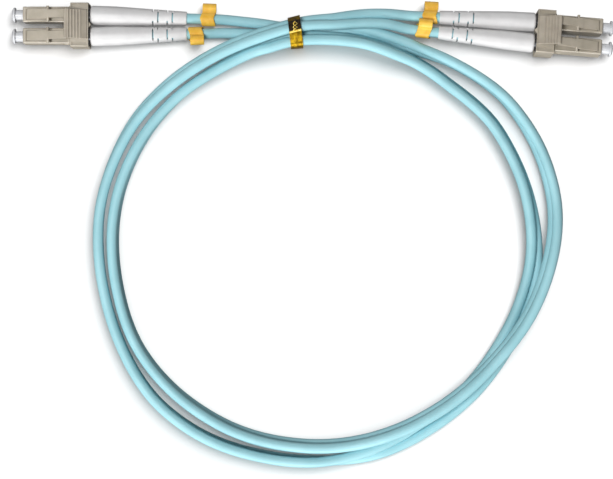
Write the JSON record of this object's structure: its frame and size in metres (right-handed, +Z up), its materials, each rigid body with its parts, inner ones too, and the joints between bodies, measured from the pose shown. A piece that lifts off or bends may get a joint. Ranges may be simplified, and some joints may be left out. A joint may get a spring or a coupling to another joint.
{
  "type": "fibre optic patch cord",
  "caption": "Duplex fibre optic patch cord laid in loops, with latching twin plugs under dust caps, slide-on cable markers and a flat tie.",
  "frame": {"origin": "bottom centre of the box round both plugs, the markers and the tie, on the table", "axes": "+X from the left plug to the right plug, +Z up from the table, the loops lie towards -Y"},
  "size_m": [0.1763, 0.1362, 0.0115],
  "materials": {
    "beige_plastic": "moulded, satin",
    "white_boot": "soft moulded, satin",
    "clear_cap": "translucent moulded",
    "gold_marker": "moulded, satin",
    "aqua_jacket": "extruded, satin",
    "fibre_buffer": "extruded",
    "ceramic": "ground and polished",
    "plated_metal": "nickel plated",
    "spring_steel": "drawn wire",
    "gold_tie": "smooth film ribbon"
  },
  "bodies": {
    "cord": {"left_housing_1": "beige_plastic", "left_housing_2": "beige_plastic", "left_spring_1": "spring_steel", "left_spring_2": "spring_steel", "left_backpost_1": "plated_metal", "left_backpost_2": "plated_metal", "left_crimp_sleeve_1": "plated_metal", "left_crimp_sleeve_2": "plated_metal", "left_boot_1": "white_boot", "left_boot_2": "white_boot", "left_fibre_1": "fibre_buffer", "left_fibre_2": "fibre_buffer", "left_clip": "beige_plastic", "right_housing_1": "beige_plastic", "right_housing_2": "beige_plastic", "right_spring_1": "spring_steel", "right_spring_2": "spring_steel", "right_backpost_1": "plated_metal", "right_backpost_2": "plated_metal", "right_crimp_sleeve_1": "plated_metal", "right_crimp_sleeve_2": "plated_metal", "right_boot_1": "white_boot", "right_boot_2": "white_boot", "right_fibre_1": "fibre_buffer", "right_fibre_2": "fibre_buffer", "right_clip": "beige_plastic", "strand_a": "aqua_jacket", "strand_b": "aqua_jacket", "twist_tie": "gold_tie"},
    "left_trigger": {"left_trigger": "beige_plastic"},
    "left_latch_1": {"left_latch_1": "beige_plastic"},
    "left_ferrule_1": {"left_ferrule_1": "ceramic", "left_ferrule_flange_1": "plated_metal"},
    "left_dust_cap_1": {"left_dust_cap_1": "clear_cap"},
    "left_marker_1": {"left_marker_1": "gold_marker"},
    "left_latch_2": {"left_latch_2": "beige_plastic"},
    "left_ferrule_2": {"left_ferrule_2": "ceramic", "left_ferrule_flange_2": "plated_metal"},
    "left_dust_cap_2": {"left_dust_cap_2": "clear_cap"},
    "left_marker_2": {"left_marker_2": "gold_marker"},
    "right_trigger": {"right_trigger": "beige_plastic"},
    "right_latch_1": {"right_latch_1": "beige_plastic"},
    "right_ferrule_1": {"right_ferrule_1": "ceramic", "right_ferrule_flange_1": "plated_metal"},
    "right_dust_cap_1": {"right_dust_cap_1": "clear_cap"},
    "right_marker_1": {"right_marker_1": "gold_marker"},
    "right_latch_2": {"right_latch_2": "beige_plastic"},
    "right_ferrule_2": {"right_ferrule_2": "ceramic", "right_ferrule_flange_2": "plated_metal"},
    "right_dust_cap_2": {"right_dust_cap_2": "clear_cap"},
    "right_marker_2": {"right_marker_2": "gold_marker"}
  },
  "joints": [
    {"name": "left_trigger_hinge", "type": "hinge", "parent": "cord", "child": "left_trigger", "pos_m": [-0.0657, 0.00105, 0.00722], "axis": [0, -1, 0], "range_deg": [0, 12.5], "stiffness_Nm_per_rad": 0.07},
    {"name": "left_latch_hinge_1", "type": "hinge", "parent": "cord", "child": "left_latch_1", "pos_m": [-0.0827, 0.00417, 0.00555], "axis": [0, 1, 0], "range_deg": [0, 7.6]},
    {"name": "left_ferrule_slide_1", "type": "slide", "parent": "cord", "child": "left_ferrule_1", "axis": [1, 0, 0], "range_m": [0, 0.001], "stiffness_N_per_m": 500, "deforming": ["left_spring_1"]},
    {"name": "left_dust_cap_slide_1", "type": "slide", "parent": "left_ferrule_1", "child": "left_dust_cap_1", "axis": [-1, 0, 0], "range_m": [0, 0.008]},
    {"name": "left_marker_slide_1", "type": "slide", "parent": "cord", "child": "left_marker_1", "axis": [0.9991, -0.0297, -0.0314], "range_m": [-0.0033, 0.001]},
    {"name": "left_latch_hinge_2", "type": "hinge", "parent": "cord", "child": "left_latch_2", "pos_m": [-0.0827, -0.00208, 0.00555], "axis": [0, 1, 0], "range_deg": [0, 7.6]},
    {"name": "left_ferrule_slide_2", "type": "slide", "parent": "cord", "child": "left_ferrule_2", "axis": [1, 0, 0], "range_m": [0, 0.001], "stiffness_N_per_m": 500, "deforming": ["left_spring_2"]},
    {"name": "left_dust_cap_slide_2", "type": "slide", "parent": "left_ferrule_2", "child": "left_dust_cap_2", "axis": [-1, 0, 0], "range_m": [0, 0.008]},
    {"name": "left_marker_slide_2", "type": "slide", "parent": "cord", "child": "left_marker_2", "axis": [0.9991, 0.0297, -0.0314], "range_m": [0, 0.001]},
    {"name": "right_trigger_hinge", "type": "hinge", "parent": "cord", "child": "right_trigger", "pos_m": [0.06628, -0.00068, 0.00793], "axis": [0.0814, 0.9896, -0.1184], "range_deg": [0, 12.5], "stiffness_Nm_per_rad": 0.07},
    {"name": "right_latch_hinge_1", "type": "hinge", "parent": "cord", "child": "right_latch_1", "pos_m": [0.08295, -0.00536, 0.00664], "axis": [-0.0814, -0.9896, 0.1184], "range_deg": [0, 7.6]},
    {"name": "right_ferrule_slide_1", "type": "slide", "parent": "cord", "child": "right_ferrule_1", "axis": [-0.9966, 0.0819, 0], "range_m": [0, 0.001], "stiffness_N_per_m": 500, "deforming": ["right_spring_1"]},
    {"name": "right_dust_cap_slide_1", "type": "slide", "parent": "right_ferrule_1", "child": "right_dust_cap_1", "axis": [0.9966, -0.0819, 0], "range_m": [0, 0.008]},
    {"name": "right_marker_slide_1", "type": "slide", "parent": "cord", "child": "right_marker_1", "axis": [-0.9938, 0.1104, -0.0104], "range_m": [-0.0015, 0.001]},
    {"name": "right_latch_hinge_2", "type": "hinge", "parent": "cord", "child": "right_latch_2", "pos_m": [0.08346, 0.00082, 0.0059], "axis": [-0.0814, -0.9896, 0.1184], "range_deg": [0, 7.6]},
    {"name": "right_ferrule_slide_2", "type": "slide", "parent": "cord", "child": "right_ferrule_2", "axis": [-0.9966, 0.0819, 0], "range_m": [0, 0.001], "stiffness_N_per_m": 500, "deforming": ["right_spring_2"]},
    {"name": "right_dust_cap_slide_2", "type": "slide", "parent": "right_ferrule_2", "child": "right_dust_cap_2", "axis": [0.9966, -0.0819, 0], "range_m": [0, 0.008]},
    {"name": "right_marker_slide_2", "type": "slide", "parent": "cord", "child": "right_marker_2", "axis": [-0.9987, 0.0517, -0.0034], "range_m": [0, 0.0025]}
  ],
  "couplings": [
    {"joint": "left_latch_hinge_1", "follows": "left_trigger_hinge", "ratio": 0.6},
    {"joint": "left_latch_hinge_2", "follows": "left_trigger_hinge", "ratio": 0.6},
    {"joint": "right_latch_hinge_1", "follows": "right_trigger_hinge", "ratio": 0.6},
    {"joint": "right_latch_hinge_2", "follows": "right_trigger_hinge", "ratio": 0.6}
  ]
}
